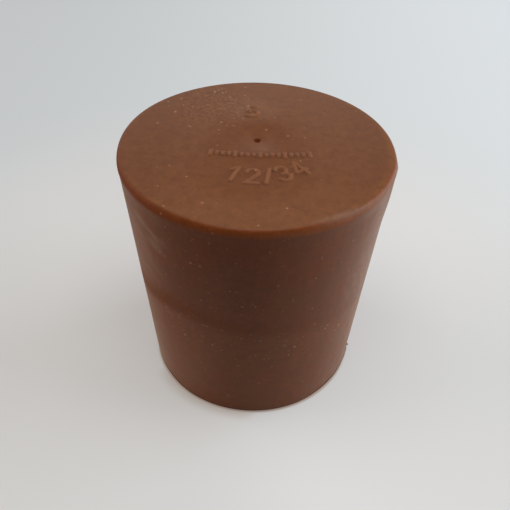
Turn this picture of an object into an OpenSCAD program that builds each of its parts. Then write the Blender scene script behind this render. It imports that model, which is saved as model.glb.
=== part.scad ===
// Solid tapered stopper, moulded in one piece of brown rubber, standing on its narrow end.
// The origin is the centre of the narrow end face, and +Z runs up to the wide end.
// The raised marks on the wide end are generic: plain figures, and a scale of short ticks.

/* [Body] */
// Diameter of the narrow end, at the bottom
narrow_d = 37; // [30:0.5:40]
// Diameter of the wide end, at the top
wide_d = 44; // [42:0.5:60]
// Height from the narrow end face to the edge of the wide end face
edge_h = 44.4; // [30:0.1:80]
// How far the wide end face is crowned above its edge
crown_h = 0.6; // [0.2:0.1:1.5]
// Radius of the rounded edge round the narrow end
foot_r = 0.7; // [0.1:0.05:1]

/* [Rim] */
// Height of the plain band round the wide end, above the mould's parting line
band_h = 1.3; // [1:0.1:4]
// Angle that the band leans in, from its bottom to its top
band_lean = 11; // [11:1:25]
// Angle that the band's outline turns either side of that lean, which makes it bulge
band_bulge = 11; // [3:1:11]
// Radius of the rounded top edge
edge_r = 0.7; // [0.2:0.05:0.9]
// Small step from the band in to the tapered wall, at the parting line
band_step = 0.1; // [0.05:0.01:0.3]

/* [Gate] */
// Distance from the axis back to the gate
gate_y = 0.9; // [0:0.1:2]
// Radius of the shallow dish round the gate
dish_r = 5.5; // [4:0.1:6.5]
// Depth of the dish
dish_depth = 0.45; // [0.1:0.05:0.8]
// Radius of the gate pit at its mouth
pit_r = 0.7; // [0.3:0.05:1]
// Depth of the pit below the bottom of the dish
pit_depth = 1.1; // [0.4:0.1:2]

/* [Raised figures] */
// Height of all the raised marks above the crown
mark_relief = 0.3; // [0.1:0.05:0.6]
// Height of a figure
figure_h = 4; // [3:0.1:4.5]
// Width of a figure
figure_w = 2.4; // [1.8:0.1:2.6]
// Width of the figures' strokes
stroke = 0.6; // [0.4:0.05:0.7]
// Distance from the axis to the middle of the front figures
figures_r = 9.8; // [8.5:0.1:11]
// Angle that the row of front figures is turned to the right
figures_turn = 10; // [-20:0.5:20]
// Angle from the slash to the figures beside it
slash_gap = 13.5; // [13:0.5:20]
// Angle from one figure to the next
figure_step = 16.5; // [16:0.5:22]
// Distance from the axis back to the middle of the back figure
back_figure_y = 9.5; // [9:0.1:13]
// Distance from the axis to the left of the back figure
back_figure_left = 1; // [0:0.1:3]

/* [Tick scale] */
// Number of ticks
tick_count = 17; // [5:2:19]
// Distance between ticks
tick_pitch = 0.95; // [0.8:0.05:1]
// Length of a long tick
tick_long = 1.6; // [1.2:0.1:1.8]
// Length of a short tick
tick_short = 1; // [0.6:0.1:1.1]
// Width of a tick
tick_w = 0.4; // [0.2:0.05:0.5]
// Distance from the axis to the right of the middle tick
tick_x = 0.5; // [0:0.1:1]
// Distance from the axis forward to the middle tick
tick_y = 4.1; // [3.6:0.1:4.6]
// Radius of the slight bow that the row of ticks follows
tick_bow_r = 60; // [20:1:200]

/* [Hidden] */

rubber_brown = [0.47, 0.31, 0.22];
narrow_r = narrow_d / 2;
wide_r = wide_d / 2;
top_z = edge_h + crown_h;
parting_z = edge_h - band_h;
// The wall runs straight from the rounded foot to the step.
wall_top = [wide_r - band_step, parting_z - band_step];
taper = atan2(wall_top[0] - narrow_r, wall_top[1]);
foot_centre = [narrow_r - foot_r * (1 - sin(taper)) / cos(taper), foot_r];
// The band's outline is an arc up to the rounded edge, which goes on from it without a corner.
band_start = band_lean - band_bulge;
band_stop = band_lean + band_bulge;
band_chord = (band_h - edge_r * (1 - sin(band_stop))) / cos(band_lean);
band_arc_r = band_chord / (2 * sin(band_bulge));
band_centre = [wide_r, parting_z] - band_arc_r * [cos(band_start), sin(band_start)];
edge_centre = band_centre + (band_arc_r - edge_r) * [cos(band_stop), sin(band_stop)];
face_r = edge_centre[0];
// The crown and the dish are both parts of large spheres.
crown_sphere_r = cap_sphere_r(face_r, crown_h);
dish_sphere_r = cap_sphere_r(dish_r, dish_depth);
// The strokes' centre lines run half a stroke inside a figure's outline.
line_w = figure_w - stroke;
line_h = figure_h - stroke;
// The marks are rooted below the dish and the edge of the crown.
root_z = edge_h - dish_depth;
// Ticks from one long tick to the next
tick_group = 4;
$fn = 120;
// The crown's arc is a small part of a very large circle.
crown_fn = 1200;
// Straight steps in each arc of the body's outline
arc_steps = 6;

// Radius of the sphere whose cap has the given rim radius and height
function cap_sphere_r(rim_r, cap_h) = (pow(rim_r, 2) + pow(cap_h, 2)) / (2 * cap_h);

// The point at a radius and an angle round a centre
function around(centre, r, angle) = centre + r * [cos(angle), sin(angle)];

// Points along part of a circle from one angle to another, after the first point
function arc_points(centre, r, start, stop) =
    [for (i = [1 : arc_steps]) around(centre, r, start + (stop - start) * i / arc_steps)];

// The round end of a stroke. It is a little wider than the stroke, and so crosses its sides cleanly.
module stroke_end(at) {
    translate(at) circle(d = stroke * 1.05);
}

// A stroke along straight lines from point to point
module line_stroke(points) {
    for (i = [1 : len(points) - 1]) {
        run = points[i] - points[i - 1];
        translate(points[i - 1])
            rotate(atan2(run[1], run[0]))
                translate([0, -stroke / 2])
                    square([norm(run), stroke]);
    }
    for (point = points) stroke_end(point);
}

// A stroke along part of a circle, anticlockwise from one angle to another, with no ends of its own
module bend_stroke(centre, r, start, stop) {
    reach = 2 * (r + stroke);
    sector_angles = [for (i = [0 : 4]) start + (stop - start) * i / 4];
    translate(centre)
        intersection() {
            difference() {
                circle(r = r + stroke / 2);
                circle(r = r - stroke / 2);
            }
            polygon(concat([[0, 0]], [for (a = sector_angles) around([0, 0], reach, a)]));
        }
}

module figure_one() {
    stem_x = line_w * 0.1;
    top = [stem_x, line_h / 2];
    line_stroke([[stem_x, -line_h / 2], top, top - [line_w * 0.42, line_h * 0.22]]);
}

module figure_two() {
    r = line_w / 2;
    centre = [0, line_h / 2 - r];
    tip = 175;
    tail = -35;
    bend_stroke(centre, r, tail, tip);
    stroke_end(around(centre, r, tip));
    line_stroke([around(centre, r, tail), [-r, -line_h / 2], [r, -line_h / 2]]);
}

module figure_three() {
    r = line_h / 4;
    tip = 155;
    // The two bows cross a little past the middle.
    waist = 100;
    bend_stroke([0, r], r, -waist, tip);
    bend_stroke([0, -r], r, -tip, waist);
    stroke_end(around([0, r], r, tip));
    stroke_end(around([0, -r], r, -tip));
}

module figure_four() {
    stem_x = line_w * 0.22;
    bar_y = -line_h * 0.2;
    line_stroke([[stem_x, -line_h / 2], [stem_x, line_h / 2], [-line_w / 2, bar_y], [line_w / 2, bar_y]]);
}

module figure_five() {
    r = line_h * 0.3;
    centre = [0, r - line_h / 2];
    tip = -150;
    shoulder = 130;
    joint = around(centre, r, shoulder);
    bend_stroke(centre, r, tip, shoulder);
    stroke_end(around(centre, r, tip));
    line_stroke([joint, [joint[0], line_h / 2], [line_w * 0.45, line_h / 2]]);
}

module slash() {
    lean = line_w * 0.32;
    line_stroke([[-lean, -line_h / 2], [lean, line_h / 2]]);
}

// Places a figure on the front arc, with its top towards the axis. The slash is at place 0.
module at_place(place) {
    angle = sign(place) * (slash_gap + (abs(place) - 1) * figure_step);
    rotate(figures_turn + angle)
        translate([0, -figures_r])
            children();
}

module front_row() {
    at_place(-2) figure_one();
    at_place(-1) figure_two();
    at_place(0) slash();
    at_place(1) figure_three();
    at_place(2) figure_four();
}

// Evenly spaced ticks, long at the middle and at every fourth one from it
module tick_row() {
    middle = (tick_count - 1) / 2;
    turn = 2 * asin(tick_pitch / (2 * tick_bow_r));
    translate([tick_x, tick_bow_r - tick_y])
        for (i = [-middle : middle])
            rotate(i * turn)
                translate([0, -tick_bow_r])
                    square([tick_w, i % tick_group == 0 ? tick_long : tick_short], center = true);
}

// The marks' tops follow the crown, a little above it.
module raised_marks() {
    intersection() {
        translate([0, 0, root_z])
            linear_extrude(top_z + mark_relief - root_z) {
                front_row();
                tick_row();
                translate([-back_figure_left, back_figure_y]) figure_five();
            }
        rotate_extrude()
            translate([0, mark_relief]) crown_section();
    }
}

// Half of the section of the crowned part of the body, above the parting line
module crown_section() {
    intersection() {
        translate([0, top_z - crown_sphere_r]) circle(r = crown_sphere_r, $fn = crown_fn);
        translate([0, parting_z]) square([face_r, band_h + crown_h]);
    }
}

// Half of the body's section, to be turned about the axis
module section() {
    polygon(concat(
        [[0, 0], [foot_centre[0], 0]],
        arc_points(foot_centre, foot_r, -90, -taper),
        [wall_top, [wide_r, parting_z]],
        arc_points(band_centre, band_arc_r, band_start, band_stop),
        arc_points(edge_centre, edge_r, band_stop, 90),
        [[0, edge_h]]
    ));
    crown_section();
}

// What the gate leaves out of the wide end: a shallow dish with a tapered pit in it
module gate_hollow() {
    translate([0, gate_y, top_z - dish_depth]) {
        translate([0, 0, dish_sphere_r]) sphere(r = dish_sphere_r);
        translate([0, 0, -pit_depth]) cylinder(r1 = pit_r / 3, r2 = pit_r, h = pit_depth + dish_depth);
    }
}

module stopper() {
    color(rubber_brown) {
        difference() {
            rotate_extrude() section();
            gate_hollow();
        }
        raised_marks();
    }
}

stopper();
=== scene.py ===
import math

import bpy
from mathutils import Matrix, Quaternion, Vector
from mathutils.kdtree import KDTree


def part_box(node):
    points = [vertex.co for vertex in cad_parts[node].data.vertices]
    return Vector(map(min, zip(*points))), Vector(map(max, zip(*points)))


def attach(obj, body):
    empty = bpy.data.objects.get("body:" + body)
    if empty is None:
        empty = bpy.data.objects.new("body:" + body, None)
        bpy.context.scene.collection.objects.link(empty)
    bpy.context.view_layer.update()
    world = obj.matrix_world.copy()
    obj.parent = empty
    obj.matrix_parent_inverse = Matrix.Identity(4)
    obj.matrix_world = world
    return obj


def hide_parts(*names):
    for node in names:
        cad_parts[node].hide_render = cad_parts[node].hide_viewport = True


# A tapered stopper of brown rubber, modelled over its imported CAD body.
# It stands on its narrow end. The wide end is up, and its marks read from the front (-Y).
# Places and sizes are in metres, and mm turns millimetres into them.

mm = 0.001
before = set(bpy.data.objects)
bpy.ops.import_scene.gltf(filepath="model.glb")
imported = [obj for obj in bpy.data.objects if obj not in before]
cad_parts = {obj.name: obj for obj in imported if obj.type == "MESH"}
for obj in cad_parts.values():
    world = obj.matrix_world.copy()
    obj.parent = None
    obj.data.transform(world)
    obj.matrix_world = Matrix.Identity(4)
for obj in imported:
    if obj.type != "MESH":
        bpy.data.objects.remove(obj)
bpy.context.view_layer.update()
print("frame loaded:", sorted(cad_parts))


def startClean():
    if bpy.context.object and bpy.context.object.mode != "OBJECT":
        bpy.ops.object.mode_set(mode="OBJECT")
    bpy.ops.object.select_all(action="DESELECT")


def makeActive(piece):
    startClean()
    piece.select_set(True)
    bpy.context.view_layer.objects.active = piece


def pickFaces(piece, wanted):
    # selects the faces whose centre passes the test, and stays in edit mode
    bpy.ops.object.mode_set(mode="EDIT")
    bpy.ops.mesh.select_mode(type="FACE")
    bpy.ops.mesh.select_all(action="DESELECT")
    bpy.ops.object.mode_set(mode="OBJECT")
    for face in piece.data.polygons:
        face.select = wanted(face.center)
    bpy.ops.object.mode_set(mode="EDIT")


def pull(piece, place, move, reach, falloff):
    # moves the vertex nearest to a place, and what is round it, by proportional editing
    bpy.ops.object.mode_set(mode="OBJECT")
    nearest = min(piece.data.vertices, key=lambda vert: (vert.co - place).length).index
    bpy.ops.object.mode_set(mode="EDIT")
    bpy.ops.mesh.select_mode(type="VERT")
    bpy.ops.mesh.select_all(action="DESELECT")
    bpy.ops.object.mode_set(mode="OBJECT")
    piece.data.vertices[nearest].select = True
    bpy.ops.object.mode_set(mode="EDIT")
    bpy.ops.transform.translate(value=move, use_proportional_edit=True,
                                proportional_edit_falloff=falloff, proportional_size=reach)


def emptyPiece(name):
    # a new mesh with nothing in it yet, open in edit mode
    startClean()
    bpy.ops.mesh.primitive_plane_add(size=mm)
    piece = bpy.context.object
    piece.name = piece.data.name = name
    bpy.ops.object.mode_set(mode="EDIT")
    bpy.ops.mesh.select_mode(type="VERT")
    bpy.ops.mesh.select_all(action="SELECT")
    bpy.ops.mesh.delete(type="VERT")
    return piece


def drawLine(points):
    # one vertex at the first point, extruded on to each of the others
    bpy.ops.mesh.primitive_plane_add(size=mm, location=points[0])
    bpy.ops.mesh.merge(type="CENTER")
    for here, there in zip(points, points[1:]):
        bpy.ops.mesh.extrude_vertices_move(TRANSFORM_OT_translate={"value": there - here})


def turned(point, angle):
    # about the axis, by an angle in radians
    return Quaternion((0, 0, 1), angle) @ point


def compass(degrees):
    # the direction at an angle round the axis, from +X
    return Vector((math.cos(math.radians(degrees)), math.sin(math.radians(degrees)), 0))


def arcPoints(centre, radius, start, stop, steps):
    return [centre + radius * compass(start + (stop - start) * i / steps) for i in range(steps + 1)]


# the raised marks, as the centre lines of their strokes
marks = {
    "figureHeight": 3.4 * mm,
    "figureWidth": 1.8 * mm,
    "bowSteps": 12,               # straight steps in a figure's bow
    "bellySteps": 14,             # and in the five's, which goes further round
    "frontRadius": 9.8 * mm,      # from the axis to the middle of the front figures
    "frontTurn": 10,              # degrees that the front row is turned to the right
    "slashGap": 13.5,             # degrees from the slash to the figures beside it
    "figureStep": 16.5,           # degrees from one figure to the next
    "backPlace": (-1 * mm, 9.5 * mm),
    "tickCount": 17,
    "tickPitch": 0.95 * mm,
    "tickGroup": 4,               # ticks from one long tick to the next
    "longTick": 1.2 * mm,
    "shortTick": 0.6 * mm,
    "ticksMiddle": (0.5 * mm, -4.1 * mm),
    "ticksBow": 60 * mm,          # radius of the slight bow that the ticks follow
    "pointGap": 0.15 * mm,        # between the places that find the faces near a stroke
    "coreWidth": 0.02 * mm,       # from a stroke's centre line out to the edge of its flat top
    "footWidth": 0.52 * mm,       # and from that line out to where it meets the face
    "relief": 0.3 * mm,
}


def figureOne(w, h):
    stem = 0.1 * w
    top = Vector((stem, h / 2, 0))
    return [[Vector((stem, -h / 2, 0)), top, top - Vector((0.42 * w, 0.22 * h, 0))]]


def figureTwo(w, h):
    r = w / 2
    bow = arcPoints(Vector((0, h / 2 - r, 0)), r, 175, -35, marks["bowSteps"])
    return [bow + [Vector((-r, -h / 2, 0)), Vector((r, -h / 2, 0))]]


def figureThree(w, h):
    r = h / 4
    return [arcPoints(Vector((0, r, 0)), r, 155, -90, marks["bowSteps"]),
            arcPoints(Vector((0, -r, 0)), r, 90, -155, marks["bowSteps"])]


def figureFour(w, h):
    stem, bar = 0.22 * w, -0.2 * h
    return [[Vector((stem, -h / 2, 0)), Vector((stem, h / 2, 0)),
             Vector((-w / 2, bar, 0)), Vector((w / 2, bar, 0))]]


def figureFive(w, h):
    r = 0.3 * h
    bow = arcPoints(Vector((0, r - h / 2, 0)), r, -150, 130, marks["bellySteps"])
    return [bow + [Vector((bow[-1].x, h / 2, 0)), Vector((0.45 * w, h / 2, 0))]]


def slash(w, h):
    return [[Vector((-0.32 * w, -h / 2, 0)), Vector((0.32 * w, h / 2, 0))]]


def markLines():
    w, h = marks["figureWidth"], marks["figureHeight"]
    lines = []
    # the front row, on an arc round the axis, with the slash at its middle
    for place, figure in enumerate((figureOne, figureTwo, slash, figureThree, figureFour), start=-2):
        side = (place > 0) - (place < 0)
        angle = marks["frontTurn"] + side * (marks["slashGap"] + (abs(place) - 1) * marks["figureStep"])
        out = Vector((0, -marks["frontRadius"], 0))
        lines += [[turned(p + out, math.radians(angle)) for p in line] for line in figure(w, h)]
    # one figure by itself at the back
    back = Vector((*marks["backPlace"], 0))
    lines += [[p + back for p in line] for line in figureFive(w, h)]
    # the row of ticks, some of them long, on a slight bow
    bow = marks["ticksBow"]
    hub = Vector((*marks["ticksMiddle"], 0)) + Vector((0, bow, 0))
    middle = marks["tickCount"] // 2
    for i in range(-middle, middle + 1):
        half = (marks["shortTick"] if i % marks["tickGroup"] else marks["longTick"]) / 2
        ends = [Vector((0, -bow - half, 0)), Vector((0, -bow + half, 0))]
        lines.append([hub + turned(p, i * marks["tickPitch"] / bow) for p in ends])
    return lines


def alongLines(lines, gap):
    # points along the lines, no further apart than the gap
    for line in lines:
        for here, there in zip(line, line[1:]):
            count = max(1, math.ceil((there - here).length / gap))
            for i in range(count + 1):
                yield here.lerp(there, i / count)


def makeStamp(height):
    # the centre lines as loose edges, to measure how near a place on the face is to a stroke
    stamp = emptyPiece("markStamp")
    for line in markLines():
        drawLine([p + Vector((0, 0, height)) for p in line])
    bpy.ops.object.mode_set(mode="OBJECT")
    return stamp


body = {
    "narrowRadius": 18.5 * mm,
    "wideRadius": 22.0 * mm,
    "footRadius": 0.7 * mm,       # rounded edge round the narrow end
    "edgeHeight": 44.4 * mm,      # narrow end to the edge of the wide face
    "bandHeight": 1.3 * mm,       # parting line to the edge of the wide face
    "wallIn": 0.1 * mm,           # how far the wall's slope ends in from the band
    "flareHeight": 2.0 * mm,      # over which the wall turns out to meet the band
    "bandLean": 11,               # degrees that the band leans in
    "bandBulge": 11,              # degrees that its outline turns either side of that
    "edgeRadius": 0.7 * mm,       # rounded edge of the wide face
    "crown": 0.6 * mm,            # how far the middle of the wide face stands above its edge
    "gate": (0, 0.9 * mm),        # middle of the dish and the pit
    "dishRadius": 6.2 * mm,
    "dishDepth": 0.45 * mm,
    "pitRadius": 0.63 * mm,
    "pitDepth": 1.1 * mm,
    "pitLip": 0.1,                # share of the pit's depth that its soft lip takes
    "pitLipReach": 1.6,           # radius of the lip, over the pit's
    "bottomRings": 5,
    "footSteps": 6,
    "wallRings": 60,
    "bandSteps": 8,
    "edgeSteps": 9,
    "spinSteps": 256,
    "mergeGap": 0.002 * mm,       # vertices nearer than this become one
    "gridSize": 26 * mm,          # the square of small faces in the middle of the wide face
    "gridCells": 64,              # its four sides together meet the ring of spin steps
    "bridgeCuts": 13,
    "levelGap": 0.01 * mm,        # how far below its edge a part of the wide face may lie
    # finer faces on it: cuts, and how near they are to a stroke or to the gate
    "fineFaces": ((3, 0.95 * mm, 1.5 * mm), (1, 0.6 * mm, 1.0 * mm)),
    "smoothAngle": 50,            # degrees
}

flaws = {
    "waveHeight": 0.06 * mm,      # of slow waves in the wall
    "waveSize": 9 * mm,
    "waveFade": 3 * mm,           # height over which they die out towards the foot and the band
    # bumps and hollows: angle round the axis, height, how far out, reach, falloff
    "bumps": (
        (-10, 43.1 * mm, 0.1 * mm, 5 * mm, "SMOOTH"),      # the band stands out at the right
        (-10, 43.1 * mm, 0.1 * mm, 1.6 * mm, "SHARP"),
        (-14, 39.5 * mm, 0.22 * mm, 6 * mm, "SMOOTH"),     # and the wall below it
        (150, 43.1 * mm, 0.17 * mm, 18 * mm, "SMOOTH"),    # the band at the back left
        (-12, 0.2 * mm, 0.14 * mm, 5 * mm, "SMOOTH"),      # the foot at the right
        (-43, 0.3 * mm, -0.12 * mm, 7 * mm, "SMOOTH"),     # and a little in, at the front right and left
        (-148, 0.3 * mm, -0.13 * mm, 8 * mm, "SMOOTH"),
        (-8, 0.35 * mm, 0.2 * mm, 1.2 * mm, "SMOOTH"),     # a ridge of flash, with a nib at its end
        (-11.5, 0.35 * mm, 0.17 * mm, 1.2 * mm, "SMOOTH"),
        (-15, 0.35 * mm, 0.1 * mm, 1.2 * mm, "SMOOTH"),
        (-5.5, 0.35 * mm, 0.68 * mm, 0.8 * mm, "SHARP"),
    ),
}


def bodyProfile():
    # from the axis out along the narrow end, up the wall and over the rim: x is the radius and y the height
    s = body
    parting = s["edgeHeight"] - s["bandHeight"]
    foot, footEdge = s["narrowRadius"], s["footRadius"]
    wallTop = Vector((s["wideRadius"] - s["wallIn"], parting, 0))
    taper = math.atan2(wallTop.x - foot, wallTop.y)
    footHub = Vector((foot - footEdge * (1 - math.sin(taper)) / math.cos(taper), footEdge, 0))
    outline = [Vector((footHub.x * i / s["bottomRings"], 0, 0)) for i in range(s["bottomRings"])]
    outline += arcPoints(footHub, footEdge, -90, -math.degrees(taper), s["footSteps"])
    wallStart = outline[-1]
    for i in range(1, s["wallRings"]):
        place = wallStart.lerp(wallTop, i / s["wallRings"])
        flare = max(0, 1 - (parting - place.y) / s["flareHeight"])
        outline.append(place + Vector((s["wallIn"] * flare ** 2, 0, 0)))
    # the band: an arc that leans in, then the small rounded edge, which goes on from it
    lean, bulge, edge = math.radians(s["bandLean"]), math.radians(s["bandBulge"]), s["edgeRadius"]
    start, stop = s["bandLean"] - s["bandBulge"], s["bandLean"] + s["bandBulge"]
    chord = (s["bandHeight"] - edge * (1 - math.sin(lean + bulge))) / math.cos(lean)
    bandRadius = chord / (2 * math.sin(bulge))
    hub = Vector((s["wideRadius"], parting, 0)) - bandRadius * compass(start)
    outline += arcPoints(hub, bandRadius, start, stop, s["bandSteps"])
    outline += arcPoints(hub + (bandRadius - edge) * compass(stop), edge, stop, 90, s["edgeSteps"])[1:]
    return outline


def makeBody(low):
    piece = emptyPiece("stopperBody")
    # the outline is spun once round the axis
    drawLine([Vector((p.x, 0, low.z + p.y)) for p in bodyProfile()])
    bpy.ops.mesh.select_all(action="SELECT")
    bpy.ops.mesh.spin(steps=body["spinSteps"], angle=math.tau, center=(0, 0, 0), axis=(0, 0, 1))
    bpy.ops.mesh.select_all(action="SELECT")
    bpy.ops.mesh.remove_doubles(threshold=body["mergeGap"])
    # the wide face: a grid for the marks, bridged out to the rim
    bpy.ops.mesh.primitive_grid_add(x_subdivisions=body["gridCells"], y_subdivisions=body["gridCells"],
                                    size=body["gridSize"], location=(0, 0, body["edgeHeight"]))
    bpy.ops.mesh.select_mode(type="EDGE")
    bpy.ops.mesh.select_all(action="DESELECT")
    bpy.ops.mesh.select_non_manifold(use_wire=False, use_multi_face=False,
                                     use_non_contiguous=False, use_verts=False)
    bpy.ops.mesh.bridge_edge_loops(number_cuts=body["bridgeCuts"], interpolation="LINEAR")
    bpy.ops.mesh.select_all(action="SELECT")
    bpy.ops.mesh.normals_make_consistent(inside=False)
    bpy.ops.object.mode_set(mode="OBJECT")
    return piece


def refineFace(piece, gate):
    # smaller faces where the marks and the gate will be
    places = list(alongLines(markLines(), marks["pointGap"]))
    tree = KDTree(len(places))
    for i, place in enumerate(places):
        tree.insert(place, i)
    tree.balance()
    for cuts, strokeReach, gateReach in body["fineFaces"]:
        def nearMark(centre):
            if centre.z < body["edgeHeight"] - body["levelGap"]:
                return False
            flat = Vector((centre.x, centre.y, 0))
            return tree.find(flat)[2] < strokeReach or (flat - gate).length < gateReach
        pickFaces(piece, nearMark)
        bpy.ops.mesh.subdivide(number_cuts=cuts)
    bpy.ops.object.mode_set(mode="OBJECT")


def raiseMarks(piece, stamp):
    # the face's vertices rise towards the stamp's lines
    group = piece.vertex_groups.new(name="marks")
    faceLow = body["edgeHeight"] - body["levelGap"]
    group.add([v.index for v in piece.data.vertices if v.co.z > faceLow], 1, "REPLACE")
    makeActive(piece)
    near = piece.modifiers.new("nearMarks", "VERTEX_WEIGHT_PROXIMITY")
    near.vertex_group = "marks"
    near.target = stamp
    near.proximity_mode = "GEOMETRY"
    near.proximity_geometry = {"EDGE"}
    near.min_dist = marks["coreWidth"]
    near.max_dist = marks["footWidth"]
    near.falloff_type = "SMOOTH"
    near.invert_falloff = True
    bpy.ops.object.modifier_apply(modifier=near.name)
    lift = piece.modifiers.new("liftMarks", "DISPLACE")
    lift.direction = "Z"
    lift.mid_level = 0
    lift.strength = marks["relief"]
    lift.vertex_group = "marks"
    bpy.ops.object.modifier_apply(modifier=lift.name)


def shapeFace(piece, gate):
    # the crown over the whole face, then the dish and the pit that the gate leaves
    s = body
    top = Vector((0, 0, s["edgeHeight"]))
    pull(piece, top, (0, 0, s["crown"]), bodyProfile()[-1].x, "INVERSE_SQUARE")
    pull(piece, top + gate, (0, 0, -s["dishDepth"]), s["dishRadius"], "SMOOTH")
    lip = s["pitLip"] * s["pitDepth"]
    pull(piece, top + gate, (0, 0, -lip), s["pitLipReach"] * s["pitRadius"], "SMOOTH")
    pull(piece, top + gate, (0, 0, lip - s["pitDepth"]), s["pitRadius"], "INVERSE_SQUARE")
    bpy.ops.object.mode_set(mode="OBJECT")


def roughen(piece, name, weight, size, depth):
    # small unevenness along the normals, on the vertices that weight picks
    group = piece.vertex_groups.new(name=name)
    for vert in piece.data.vertices:
        if weight(vert.co) > 0:
            group.add([vert.index], weight(vert.co), "REPLACE")
    texture = bpy.data.textures.new(name, "CLOUDS")
    texture.noise_scale = size
    makeActive(piece)
    uneven = piece.modifiers.new(name, "DISPLACE")
    uneven.texture = texture
    uneven.texture_coords = "LOCAL"
    uneven.vertex_group = name
    uneven.strength = depth
    bpy.ops.object.modifier_apply(modifier=name)


def addFlaws(piece, low):
    # the wall is not quite true, and a few places stand out a little
    parting = low.z + body["edgeHeight"] - body["bandHeight"]

    def onWall(place):
        rise = min(place.z - low.z, parting - place.z) / flaws["waveFade"]
        return max(0.0, min(1.0, rise))

    roughen(piece, "wallWaves", onWall, flaws["waveSize"], flaws["waveHeight"])
    for angle, height, out, reach, falloff in flaws["bumps"]:
        side = compass(angle)
        radius = body["narrowRadius"] + (body["wideRadius"] - body["narrowRadius"]) * height / parting
        place = side * radius + Vector((0, 0, low.z + height))
        pull(piece, place, side * out, reach, falloff)
    bpy.ops.object.mode_set(mode="OBJECT")


def finishBody(piece):
    makeActive(piece)
    bpy.ops.object.shade_smooth_by_angle(angle=math.radians(body["smoothAngle"]))
    piece.vertex_groups.clear()
    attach(piece, "root")
    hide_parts("stopper")


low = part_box("stopper")[0]
gate = Vector((*body["gate"], 0))
stopper = makeBody(low)
print("body spun:", len(stopper.data.vertices), "vertices")
refineFace(stopper, gate)
stamp = makeStamp(body["edgeHeight"])
raiseMarks(stopper, stamp)
bpy.data.objects.remove(stamp)
shapeFace(stopper, gate)
addFlaws(stopper, low)
finishBody(stopper)
print("marks and gate made:", len(stopper.data.polygons), "faces")


def makeNode(tree, kind, sources=(), **settings):
    # a node with its settings and its inputs: a socket is linked, anything else is a value
    node = tree.nodes.new(kind)
    for name, value in settings.items():
        setattr(node, name, value)
    for place, source in dict(sources).items():
        if isinstance(source, bpy.types.NodeSocket):
            tree.links.new(source, node.inputs[place])
        else:
            node.inputs[place].default_value = source
    return node


def mixColour(tree, factor, first, second, blend="MIX"):
    sources = {0: factor, 6: first, 7: second}
    return makeNode(tree, "ShaderNodeMix", sources, data_type="RGBA", blend_type=blend).outputs[2]


def sums(tree, operation, *values):
    # one step of arithmetic on numbers or sockets
    return makeNode(tree, "ShaderNodeMath", dict(enumerate(values)), operation=operation).outputs[0]


def times(tree, first, *others):
    for other in others:
        first = sums(tree, "MULTIPLY", first, other)
    return first


def plus(tree, first, *others):
    for other in others:
        first = sums(tree, "ADD", first, other)
    return first


def minus(tree, first, second):
    return sums(tree, "SUBTRACT", first, second)


def fade(tree, value, start, stop, low=0.0, high=1.0):
    # runs smoothly from low to high as the value goes from start to stop
    sources = {"Value": value, "From Min": start, "From Max": stop, "To Min": low, "To Max": high}
    return makeNode(tree, "ShaderNodeMapRange", sources, interpolation_type="SMOOTHSTEP").outputs[0]


def clouds(tree, place, scale, detail, stretch=(1, 1, 1)):
    # noise, with the scale in features to the millimetre
    spread = makeNode(tree, "ShaderNodeMapping", {"Vector": place, "Scale": stretch}).outputs[0]
    sources = {"Vector": spread, "Scale": scale, "Detail": detail}
    return makeNode(tree, "ShaderNodeTexNoise", sources).outputs[0]


def along(tree, place, direction):
    # how far a place lies in a direction
    sources = {0: place, 1: direction}
    return makeNode(tree, "ShaderNodeVectorMath", sources, operation="DOT_PRODUCT").outputs["Value"]


def fromPoint(tree, place, point):
    sources = {0: place, 1: point}
    return makeNode(tree, "ShaderNodeVectorMath", sources, operation="DISTANCE").outputs["Value"]


def patch(tree, place, point, reach, full, strength=1.0):
    # a round patch: nothing beyond the reach, and its full strength nearer than that
    return fade(tree, fromPoint(tree, place, point), reach, full, 0.0, strength)


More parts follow.
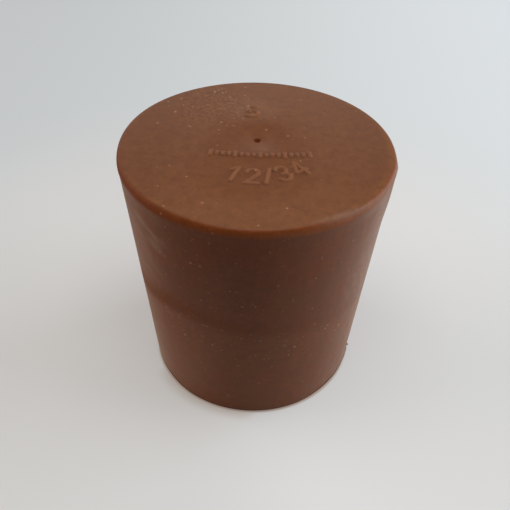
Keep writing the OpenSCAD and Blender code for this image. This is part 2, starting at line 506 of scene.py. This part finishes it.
# lengths and places in this dictionary are in millimetres
rubber = {
    # browns of the whole, the wide face and its parts
    "redBrown": (0.186, 0.0438, 0.0098, 1),
    "dullBrown": (0.174, 0.046, 0.0115, 1),
    "faceBrown": (0.203, 0.073, 0.0255, 1),
    "faceFrontPaintedLight": (0.232, 0.09, 0.0365, 1),
    "faceSidePaintedShade": (0.155, 0.048, 0.0155, 1),
    "edgeOrange": (0.27, 0.095, 0.022, 1),    # a strip inside the edge
    "dishBrown": (0.165, 0.046, 0.0085, 1),   # round the dish and the figures
    "paleBrown": (0.3, 0.15, 0.08, 1),
    "creaseBrown": (0.155, 0.043, 0.009, 1),  # painted shade round the figures' feet, also a darker spot behind the pit
    "wornBrown": (0.28, 0.105, 0.043, 1),     # tops of the raised marks
    # and of the band and the wall
    # painted light: the band is brighter than the wall, as its face turns up
    "bandLitBrown": (0.252, 0.064, 0.0155, 1),
    "leftLitBrown": (0.25, 0.076, 0.021, 1),     # painted light at the left of the wall
    "lowBrown": (0.204, 0.0565, 0.0165, 1),   # below the belt line
    "beltBrown": (0.175, 0.0455, 0.0105, 1),  # the wiped belt above it
    "footPaintedShade": (0.045, 0.02, 0.01, 1),      # painted shade in the rounded foot, where it meets the floor
    # what lies on the rubber
    # grey bloom on the wall, also the grey of its painted sheen at the low left and of the painted highlight
    # on the right edge
    "bloomAndSheenGrey": (0.42, 0.34, 0.27, 1),
    "smudgeGrey": (0.33, 0.215, 0.14, 1),
    "dust": (0.75, 0.42, 0.285, 1),
    # noise: features to the millimetre, detail, and stretch if any
    "broad": (0.13, 3),
    "middling": (0.7, 3),
    "fine": (4.5, 3),
    "edgeNoise": (0.3, 2),
    "streaks": (0.9, 3, (1, 1, 0.05)),
    "mottle": (1.6, 2),
    "grit": (1.7, 1),
    "waves": (0.25, 1),
    # every fade below is: from, to, and what comes out at each, if not 0 and 1
    "faceStart": (-0.2, 0.02),                # height over the face's edge
    "bandStart": (-0.5, 0.3),                 # height over the parting line
    "dullPlaces": (0.35, 0.65),
    "faceHaze": (0.2, 0.6, 0.65, 1.0),
    "bandLeft": (-3.0, -15.0),                # where the band's painted light gives way to the wall's red
    # painted shade on the face's two sides, which reaches further in at the left, and painted light at its
    # front
    "sidesShade": (9.0, 20.5, 0.0, 0.42),
    "leftMore": (2.0, -14.0, 0.0, 2.5),
    "frontShade": (-9.0, -20.0, 0.0, 0.6),
    "stripRing": (20.2, 21.2),
    "stripRight": (10.0, 18.0, 0.0, 0.32),
    "stripPatches": (0.5, 0.65, 0.0, 0.25),
    # a pale painted highlight on the edge, at the right: its height, what is over and under it, and its ends
    "highlightHeight": (8.0, 20.0, -0.03, -0.42),
    "highlightOver": (0.3, 0.0),
    "highlightUnder": (-1.2, 0.0),
    "highlightRight": (6.0, 13.5, 0.0, 0.24),
    "highlightFront": (2.0, -6.0),
    "highlightRing": (20.6, 21.3),
    # a ring in the dish, round a point a little over the gate
    "gateLift": 0.4,
    "ringInside": (1.6, 3.8),
    "ringOutside": (10.5, 4.5, 0.0, 0.5),
    # patches on the face: colour, place, reach, where it is full, and strength
    "patches": (
        ("dishBrown", (-1.0, -6.5, 45.0), 12.0, 6.0, 0.33),
        ("paleBrown", (-1.0, 10.5, 45.0), 6.5, 1.3, 0.22),
        ("paleBrown", (1.0, -1.6, 44.6), 2.6, 0.52, 0.16),
        ("creaseBrown", (0.2, 2.3, 44.6), 2.2, 0.44, 0.5),
    ),
    # the belt line is where this plane has the height below, give or take what it wanders
    "beltPlane": (0.072, 0.07, 1.0),
    "beltHeight": 21.4,
    "beltWander": (0.3, 0.7, -0.25, 0.25),
    "beltDrop": (-12.0, -19.0, 0.0, 1.7),     # it drops at the far left
    "belowBelt": (0.8, -2.5),
    "beltWidth": (4.0, -16.0, 2.4, 5.0),      # widest at the left
    "beltBottom": (-1.2, 0.8),
    "beltTop": (1.1, 0.1),                    # height over the width
    "beltLeft": (14.0, -12.0, 0.12, 0.8),
    "beltClouds": (0.2, 0.5, 0.7, 1.0),
    "leftSide": (-12.5, -18.0, 0.0, 0.6),
    "leftHaze": (6.0, -14.0, 0.0, 0.02),
    "lowHaze": (-14.0, -18.2, 0.0, 0.1),
    "lowHazeTop": (0.0, -4.0),                # height over the belt line
    # painted shade at the foot: a dark line where it meets the floor, higher and stronger at the two sides
    "footSides": (8.0, 15.0),
    "footLift": 0.4,
    "footLine": (0.8, 0.45),
    "footStrength": (0.0, 1.0, 0.55, 0.85),
    # smudges wiped across the wall: their grain, place, reach, where they are full, and strength
    "wipeAcross": (0.04, -0.03, -0.09),
    "wipeAlong": (0.5, 0.3, 0.25),
    "wipeScale": 1.6,
    "wiped": (0.42, 0.66),
    "smudges": (
        ((-16.7, -13.8, 38.0), 7.0, 1.4, 0.45),
        ((17.0, -11.5, 27.0), 7.0, 1.4, 0.16),
        ((-16.0, -13.0, 30.0), 5.0, 1.0, 0.14),
    ),
    # slight lighter and darker places
    "streakShade": (0.3, 0.7, 0.95, 1.05),
    "streaksRight": (-4.0, 12.0, 0.25, 1.0),
    "fineShade": (0.25, 0.75, 0.965, 1.035),
    "middlingShade": (0.3, 0.7, 0.94, 1.06),
    "mottleShade": (0.3, 0.7, 0.95, 1.05),
    # height over the crown, where the marks are worn, and where their feet have painted shade
    "crownRadius": 21.2,
    "wornTop": (0.04, 0.24),
    "wornFront": (-5.5, -6.5, 0.6, 0.75),
    "creaseBottom": (0.02, 0.06),
    "creaseTop": (0.14, 0.08),
    "creaseStrength": 0.4,
    "ticksRow": (4.3, 2.0),                   # how far forward it is, and how near it no foot is dark
    # dust: where most of it lies, and crumbs in a zone under the belt line
    "heap": ((-8.0, 12.0, 45.0), 11.0, 3.0),
    "gritShade": (0.3, 0.7, 0.82, 1.18),
    "crumbsTop": (0.5, -1.0),
    "crumbsBottom": (-9.0, -5.0),
    # specks to the millimetre, their chance on the wall and the face, how much more it is
    # in the heap, and their smallest and largest size
    "dustLayers": (
        (0.55, (0.42, 0.22), 0.6, (0.13, 0.36)),
        (1.3, (0.16, 0.05), 0.8, (0.14, 0.32)),
    ),
    "crumbChance": 0.5,
    "speckEdge": (1.0, 0.2),
    "speckStrength": (0.08, 0.42),
    "speckPart": (0.55, 1.0),                 # of that strength, on the wall and on the face
    "thickDust": 0.4,                         # more of it in the heap and the crumbs
    # satin, duller in the belt, on the face, at the foot and where there is dust
    "ior": 1.28,
    "roughness": 0.36,
    "roughClouds": (0.3, 0.7, -0.03, 0.03),
    "beltDuller": 0.2,
    "faceDuller": 0.04,
    "footDuller": 0.5,
    "dustDuller": 0.4,
    # bump, in metres
    "waveHeight": 0.05 * mm,
    "grainHeight": 0.012 * mm,
}


def findPlaces(tree):
    # what the colours follow: places in millimetres, noise, and the parts of the body as masks
    r = rubber
    objectPlace = tree.nodes.new("ShaderNodeTexCoord").outputs["Object"]
    spot = makeNode(tree, "ShaderNodeMapping", {"Vector": objectPlace, "Scale": (1 / mm,) * 3}).outputs[0]
    x, y, z = makeNode(tree, "ShaderNodeSeparateXYZ", {0: spot}).outputs
    radius = sums(tree, "SQRT", plus(tree, times(tree, x, x), times(tree, y, y)))
    broad, middling, fine = [clouds(tree, spot, *r[name]) for name in ("broad", "middling", "fine")]
    overEdge = minus(tree, z, body["edgeHeight"] / mm)
    onFace = fade(tree, overEdge, *r["faceStart"])
    aboveParting = fade(tree, plus(tree, overEdge, body["bandHeight"] / mm), *r["bandStart"])
    # the height over the belt line, and the belt over it
    wander = plus(tree, fade(tree, middling, *r["beltWander"]), fade(tree, x, *r["beltDrop"]))
    overBelt = plus(tree, minus(tree, along(tree, spot, r["beltPlane"]), r["beltHeight"]), wander)
    overWidth = sums(tree, "DIVIDE", overBelt, fade(tree, x, *r["beltWidth"]))
    belt = times(tree, fade(tree, overBelt, *r["beltBottom"]), fade(tree, overWidth, *r["beltTop"]),
                 fade(tree, x, *r["beltLeft"]), fade(tree, broad, *r["beltClouds"]))
    # the foot's line, and how far round to the sides it is
    toSides = fade(tree, sums(tree, "ABSOLUTE", x), *r["footSides"])
    footLine = fade(tree, minus(tree, z, times(tree, toSides, r["footLift"])), *r["footLine"])
    return {
        "spot": spot, "x": x, "y": y, "radius": radius, "overEdge": overEdge,
        "broad": broad, "middling": middling, "fine": fine, "onFace": onFace,
        "onBand": minus(tree, aboveParting, onFace), "onWall": minus(tree, 1.0, aboveParting),
        "overBelt": overBelt, "belt": belt, "toSides": toSides, "footLine": footLine,
        "heap": patch(tree, spot, *r["heap"]),
    }


def colourFace(tree, colour, at):
    r = rubber
    x, y, onFace = at["x"], at["y"], at["onFace"]
    hazed = times(tree, onFace, fade(tree, at["middling"], *r["faceHaze"]))
    colour = mixColour(tree, hazed, colour, r["faceBrown"])
    # painted light makes the band brighter than the wall, except towards the left, where it turns to the
    # wall's red
    bandColour = mixColour(tree, fade(tree, x, *r["bandLeft"]), r["bandLitBrown"], r["redBrown"])
    colour = mixColour(tree, at["onBand"], colour, bandColour)
    # painted shade darkens it towards its two sides, and painted light makes it paler at the front
    sideways = plus(tree, sums(tree, "ABSOLUTE", x), fade(tree, x, *r["leftMore"]))
    sideways = times(tree, onFace, fade(tree, sideways, *r["sidesShade"]))
    colour = mixColour(tree, sideways, colour, r["faceSidePaintedShade"])
    toFront = times(tree, onFace, fade(tree, y, *r["frontShade"]))
    colour = mixColour(tree, toFront, colour, r["faceFrontPaintedLight"])
    # an orange strip inside the edge, strongest at the right
    strip = plus(tree, fade(tree, x, *r["stripRight"]),
                 fade(tree, clouds(tree, at["spot"], *r["edgeNoise"]), *r["stripPatches"]))
    strip = times(tree, strip, onFace, fade(tree, at["radius"], *r["stripRing"]))
    colour = mixColour(tree, strip, colour, r["edgeOrange"])
    # a pale painted highlight on the edge at the right, higher up on its rounding towards the front
    overHighlight = minus(tree, at["overEdge"], fade(tree, x, *r["highlightHeight"]))
    edgeHighlight = times(tree, fade(tree, overHighlight, *r["highlightOver"]), fade(tree, overHighlight, *r["highlightUnder"]),
                  fade(tree, x, *r["highlightRight"]), fade(tree, y, *r["highlightFront"]),
                  fade(tree, at["radius"], *r["highlightRing"]))
    colour = mixColour(tree, edgeHighlight, colour, r["bloomAndSheenGrey"])
    # a darker ring in the dish, then the patches
    gateX, gateY = body["gate"]
    overGate = (gateX / mm, gateY / mm, body["edgeHeight"] / mm + r["gateLift"])
    fromGate = fromPoint(tree, at["spot"], overGate)
    ring = times(tree, fade(tree, fromGate, *r["ringInside"]), fade(tree, fromGate, *r["ringOutside"]))
    colour = mixColour(tree, ring, colour, r["dishBrown"])
    for brown, *shape in r["patches"]:
        near = times(tree, patch(tree, at["spot"], *shape), onFace)
        colour = mixColour(tree, near, colour, r[brown])
    return colour


def colourWall(tree, colour, at):
    r = rubber
    x, onWall, belt = at["x"], at["onWall"], at["belt"]
    # paler below the belt line, with a darker belt above it
    below = times(tree, fade(tree, at["overBelt"], *r["belowBelt"]), onWall)
    colour = mixColour(tree, below, colour, r["lowBrown"])
    # painted light: a paler brown towards the wall's left edge
    colour = mixColour(tree, times(tree, onWall, fade(tree, x, *r["leftSide"])), colour, r["leftLitBrown"])
    # a grey bloom, stronger at the left, which at the low left edge is also painted sheen
    low = times(tree, fade(tree, x, *r["lowHaze"]), fade(tree, at["overBelt"], *r["lowHazeTop"]))
    bloomAndSheen = plus(tree, fade(tree, x, *r["leftHaze"]), low)
    bloomAndSheen = times(tree, bloomAndSheen, minus(tree, 1.0, belt), onWall)
    colour = mixColour(tree, bloomAndSheen, colour, r["bloomAndSheenGrey"])
    colour = mixColour(tree, belt, colour, r["beltBrown"])
    # painted shade along the foot, where it meets the floor
    footShadeAmount = times(tree, at["footLine"], fade(tree, at["toSides"], *r["footStrength"]))
    colour = mixColour(tree, footShadeAmount, colour, r["footPaintedShade"])
    # wiped smudges, mostly high on the left
    grain = {0: along(tree, at["spot"], r["wipeAcross"]), 1: along(tree, at["spot"], r["wipeAlong"])}
    grain = makeNode(tree, "ShaderNodeCombineXYZ", grain).outputs[0]
    smudge = makeNode(tree, "ShaderNodeTexNoise", {"Vector": grain, "Scale": r["wipeScale"]}).outputs[0]
    smudge = fade(tree, smudge, *r["wiped"])
    for shape in r["smudges"]:
        near = times(tree, smudge, patch(tree, at["spot"], *shape), onWall)
        colour = mixColour(tree, near, colour, r["smudgeGrey"])
    # faint streaks down the wall
    streaks = fade(tree, clouds(tree, at["spot"], *r["streaks"]), *r["streakShade"])
    streaked = times(tree, onWall, fade(tree, x, *r["streaksRight"]))
    return mixColour(tree, streaked, colour, streaks, "MULTIPLY")


def colourMarks(tree, colour, at):
    # the raised marks, which are what stands above the crown, are worn pale on top
    r = rubber
    crown = body["crown"] / mm
    fall = times(tree, sums(tree, "POWER", sums(tree, "DIVIDE", at["radius"], r["crownRadius"]), 2.0), crown)
    overCrown = plus(tree, minus(tree, at["overEdge"], crown), fall)
    # painted shade at the figures' feet, where they meet the face
    rowPlace, rowReach = r["ticksRow"]
    fromRow = sums(tree, "ABSOLUTE", plus(tree, at["y"], rowPlace))
    crease = times(tree, fade(tree, overCrown, *r["creaseBottom"]), fade(tree, overCrown, *r["creaseTop"]),
                   sums(tree, "GREATER_THAN", fromRow, rowReach), r["creaseStrength"])
    colour = mixColour(tree, crease, colour, r["creaseBrown"])
    worn = times(tree, fade(tree, overCrown, *r["wornTop"]), fade(tree, at["y"], *r["wornFront"]))
    return mixColour(tree, worn, colour, r["wornBrown"])


def findSpecks(tree, at):
    # dust: a speck in some of the cells, and more of them in the heap and the crumbs
    r = rubber
    overBelt = at["overBelt"]
    crumbs = times(tree, fade(tree, overBelt, *r["crumbsTop"]), fade(tree, overBelt, *r["crumbsBottom"]))
    thick = times(tree, sums(tree, "MAXIMUM", at["heap"], crumbs), r["thickDust"])
    part = plus(tree, thick, fade(tree, at["onFace"], 0.0, 1.0, *r["speckPart"]))
    specks = 0.0
    for count, chances, heapChance, sizes in r["dustLayers"]:
        cells = makeNode(tree, "ShaderNodeTexVoronoi", {"Vector": at["spot"], "Scale": count})
        dice = makeNode(tree, "ShaderNodeSeparateColor", {0: cells.outputs["Color"]}).outputs
        size = times(tree, fade(tree, dice[0], 0.0, 1.0, *sizes), count)
        speck = fade(tree, sums(tree, "DIVIDE", cells.outputs["Distance"], size), *r["speckEdge"])
        chance = plus(tree, fade(tree, at["onFace"], 0.0, 1.0, *chances), times(tree, at["heap"], heapChance),
                      times(tree, crumbs, r["crumbChance"]))
        chosen = sums(tree, "LESS_THAN", dice[1], chance)
        strength = fade(tree, dice[2], 0.0, 1.0, *r["speckStrength"])
        specks = sums(tree, "MAXIMUM", times(tree, speck, chosen, strength, part), specks)
    return specks


def makeRubber():
    r = rubber
    material = bpy.data.materials.new("brownRubber")
    material.use_nodes = True
    tree = material.node_tree
    shader = tree.nodes["Principled BSDF"]
    shader.inputs["IOR"].default_value = r["ior"]
    at = findPlaces(tree)
    colour = mixColour(tree, fade(tree, at["broad"], *r["dullPlaces"]), r["redBrown"], r["dullBrown"])
    colour = colourWall(tree, colourFace(tree, colour, at), at)
    # slightly lighter and darker places all over
    mottle = fade(tree, clouds(tree, at["spot"], *r["mottle"]), *r["mottleShade"])
    shade = times(tree, fade(tree, at["fine"], *r["fineShade"]),
                  fade(tree, at["middling"], *r["middlingShade"]), mottle)
    colour = mixColour(tree, 1.0, colour, shade, "MULTIPLY")
    colour = colourMarks(tree, colour, at)
    # dust, on gritty rubber in the heap
    grit = fade(tree, clouds(tree, at["spot"], *r["grit"]), *r["gritShade"])
    colour = mixColour(tree, times(tree, at["heap"], at["onFace"]), colour, grit, "MULTIPLY")
    specks = findSpecks(tree, at)
    colour = mixColour(tree, specks, colour, r["dust"])
    tree.links.new(colour, shader.inputs["Base Color"])

    roughness = plus(tree, r["roughness"], fade(tree, at["middling"], *r["roughClouds"]),
                     times(tree, at["belt"], r["beltDuller"]), times(tree, at["onFace"], r["faceDuller"]),
                     times(tree, at["footLine"], r["footDuller"]), times(tree, specks, r["dustDuller"]))
    tree.links.new(roughness, shader.inputs["Roughness"])
    # a slow waviness, and fine grain over it
    waves = {"Strength": 1.0, "Distance": r["waveHeight"], "Height": clouds(tree, at["spot"], *r["waves"])}
    waves = makeNode(tree, "ShaderNodeBump", waves).outputs[0]
    grain = {"Strength": 1.0, "Distance": r["grainHeight"], "Height": at["fine"], "Normal": waves}
    tree.links.new(makeNode(tree, "ShaderNodeBump", grain).outputs[0], shader.inputs["Normal"])
    return material


stopper.data.materials.clear()
stopper.data.materials.append(makeRubber())
print("rubber mixed")


stageSet = {
    "floorSize": 3.0,
    "floorRoughness": 0.9,
    "floorSpecular": 0.2,
    "nearFloor": (0.50, 0.495, 0.485, 1),     # round the stopper, where its light comes back up to the wall
    "farFloor": (0.14, 0.14, 0.14, 1),
    "floorFade": (50 * mm, 110 * mm),         # from the one to the other
    # added for the camera, with painted light that makes the floor brighter towards the right: at the left
    # and at the right
    "nearGlow": ((0.255, 0.25, 0.245, 1), (0.315, 0.315, 0.31, 1)),
    "nearAcross": (-12 * mm, 14 * mm),
    "farGlow": ((0.43, 0.445, 0.45, 1), (0.60, 0.635, 0.65, 1)),
    "farAcross": (-120 * mm, 120 * mm),
    # the share of it that gloss sees, a painted reflection that is brightest to the right: from left to
    # right, behind, far off, and more in a strip at the left
    "glossTint": (0.99, 0.98, 0.87, 1),
    "glossAcross": (-20 * mm, 60 * mm, 0.2, 2.0),
    "glossBehind": (20 * mm, 50 * mm, 1.0, 0.5),
    "glossFar": (50 * mm, 110 * mm, 1.0, 0.75),
    "stripLeft": (-27 * mm, -21 * mm),
    "stripRight": (-8 * mm, -14 * mm),
    "stripDepth": (-6 * mm, 14 * mm, 0.4, 1.9),
    # painted shadow on the floor, browned by the stopper's light, along the foot and more widely so at the
    # front left
    "footShadowTint": (0.69, 0.55, 0.465, 1),
    "shadowStart": 18.4 * mm,
    "shadowWay": (-0.5, -0.86, 0),
    "shadowWidth": (15.3 * mm, 18.3 * mm, 0.6 * mm, 2.6 * mm),
    "shadowFade": (1.0, 0.0, 0.0, 0.55),
    "contact": (0.3 * mm, 0.0, 0.0, 0.75),
    # the room, for the camera, in gloss behind the stopper and before it, and as light
    "worldSeen": (0.62, 0.64, 0.655, 1),
    "worldBack": (0.62, 0.64, 0.66, 1),
    "worldFront": (0.03, 0.03, 0.03, 1),
    "worldLight": (0.02, 0.02, 0.02, 1),
    "worldWay": (0.3, 0.95, 0.2),
    "worldFade": (-0.5, 0.5),
}

lamps = {
    # name: direction from the stopper, distance, size, power, colour, seen in gloss
    "windowLamp": ((0.95, 0.13, 0.27), 0.6, 0.55, 3.8, (0.95, 0.985, 1.07), False),
    "fillLamp": ((-0.95, 0.12, 0.27), 0.6, 0.5, 2.35, (1.08, 1.0, 0.88), False),
    "ceilingLamp": ((0.0, -0.15, 1.0), 0.7, 0.6, 2.3, (1.0, 1.0, 1.0), True),
}

cameraSet = {
    "aim": (0.14 * mm, 0, 21.36 * mm),
    "distance": 120.35 * mm,
    "elevation": 40.7,                        # degrees
    "roll": 1.53,
    "lens": 47.13,                            # in millimetres, as Blender has it
    "clipStart": 5 * mm,
}


def makeFloor():
    s = stageSet
    startClean()
    bpy.ops.mesh.primitive_plane_add(size=s["floorSize"])
    floor = bpy.context.object
    floor.name = "floor"
    material = bpy.data.materials.new("palePaper")
    material.use_nodes = True
    tree = material.node_tree
    shader = tree.nodes["Principled BSDF"]
    shader.inputs["Roughness"].default_value = s["floorRoughness"]
    shader.inputs["Specular IOR Level"].default_value = s["floorSpecular"]
    place = tree.nodes.new("ShaderNodeTexCoord").outputs["Object"]
    across, depth = makeNode(tree, "ShaderNodeSeparateXYZ", {0: place}).outputs[:2]
    distance = makeNode(tree, "ShaderNodeVectorMath", {0: place}, operation="LENGTH").outputs["Value"]
    far = fade(tree, distance, *s["floorFade"])
    colour = mixColour(tree, far, s["nearFloor"], s["farFloor"])
    nearGlow = mixColour(tree, fade(tree, across, *s["nearAcross"]), *s["nearGlow"])
    farGlow = mixColour(tree, fade(tree, across, *s["farAcross"]), *s["farGlow"])
    glow = mixColour(tree, far, nearGlow, farGlow)
    # the painted shadow along the foot, and the darker painted contact shadow where it stands
    fromFoot = minus(tree, distance, s["shadowStart"])
    width = fade(tree, along(tree, place, s["shadowWay"]), *s["shadowWidth"])
    paintedShadow = plus(tree, fade(tree, sums(tree, "DIVIDE", fromFoot, width), *s["shadowFade"]),
                 fade(tree, fromFoot, *s["contact"]))
    colour = mixColour(tree, paintedShadow, colour, s["footShadowTint"], "MULTIPLY")
    glow = mixColour(tree, paintedShadow, glow, s["footShadowTint"], "MULTIPLY")
    # the camera sees the glow, gloss sees a share of it as a painted reflection, and no other ray does
    share = times(tree, fade(tree, across, *s["glossAcross"]), fade(tree, depth, *s["glossBehind"]),
                  fade(tree, distance, *s["glossFar"]))
    strip = times(tree, fade(tree, across, *s["stripLeft"]), fade(tree, across, *s["stripRight"]),
                  fade(tree, depth, *s["stripDepth"]))
    path = tree.nodes.new("ShaderNodeLightPath").outputs
    inGloss = times(tree, path["Is Glossy Ray"], plus(tree, share, strip))
    glow = mixColour(tree, path["Is Glossy Ray"], glow, s["glossTint"], "MULTIPLY")
    tree.links.new(colour, shader.inputs["Base Color"])
    tree.links.new(glow, shader.inputs["Emission Color"])
    tree.links.new(sums(tree, "MAXIMUM", path["Is Camera Ray"], inGloss), shader.inputs["Emission Strength"])
    floor.data.materials.append(material)


def makeWorld():
    s = stageSet
    world = bpy.data.worlds.new("studio")
    world.use_nodes = True
    bpy.context.scene.world = world
    tree = world.node_tree
    path = tree.nodes.new("ShaderNodeLightPath").outputs
    # gloss sees a pale room behind the stopper and a dim one before it
    place = tree.nodes.new("ShaderNodeTexCoord").outputs["Generated"]
    behind = fade(tree, along(tree, place, s["worldWay"]), *s["worldFade"])
    room = mixColour(tree, behind, s["worldFront"], s["worldBack"])
    light = mixColour(tree, path["Is Glossy Ray"], s["worldLight"], room)
    seen = mixColour(tree, path["Is Camera Ray"], light, s["worldSeen"])
    tree.links.new(seen, tree.nodes["Background"].inputs["Color"])


def makeLamps():
    for name, (direction, distance, size, power, colour, inGloss) in lamps.items():
        way = Vector(direction).normalized()
        startClean()
        bpy.ops.object.light_add(type="AREA", location=way * distance,
                                 rotation=way.to_track_quat("Z", "Y").to_euler())
        lamp = bpy.context.object
        lamp.name = name
        lamp.data.size = size
        lamp.data.energy = power
        lamp.data.color = colour
        lamp.visible_camera = False
        lamp.visible_glossy = inGloss


def makeCamera():
    startClean()
    s = cameraSet
    lift = math.radians(s["elevation"])
    back = Vector((0, -math.cos(lift), math.sin(lift)))
    turn = back.to_track_quat("Z", "Y") @ Quaternion((0, 0, 1), math.radians(s["roll"]))
    bpy.ops.object.camera_add(location=Vector(s["aim"]) + back * s["distance"], rotation=turn.to_euler())
    camera = bpy.context.object
    camera.data.lens = s["lens"]
    camera.data.clip_start = s["clipStart"]
    bpy.context.scene.camera = camera


makeFloor()
makeWorld()
makeLamps()
makeCamera()
bpy.context.scene.view_settings.view_transform = "Standard"
print("stage, lamps and camera set")
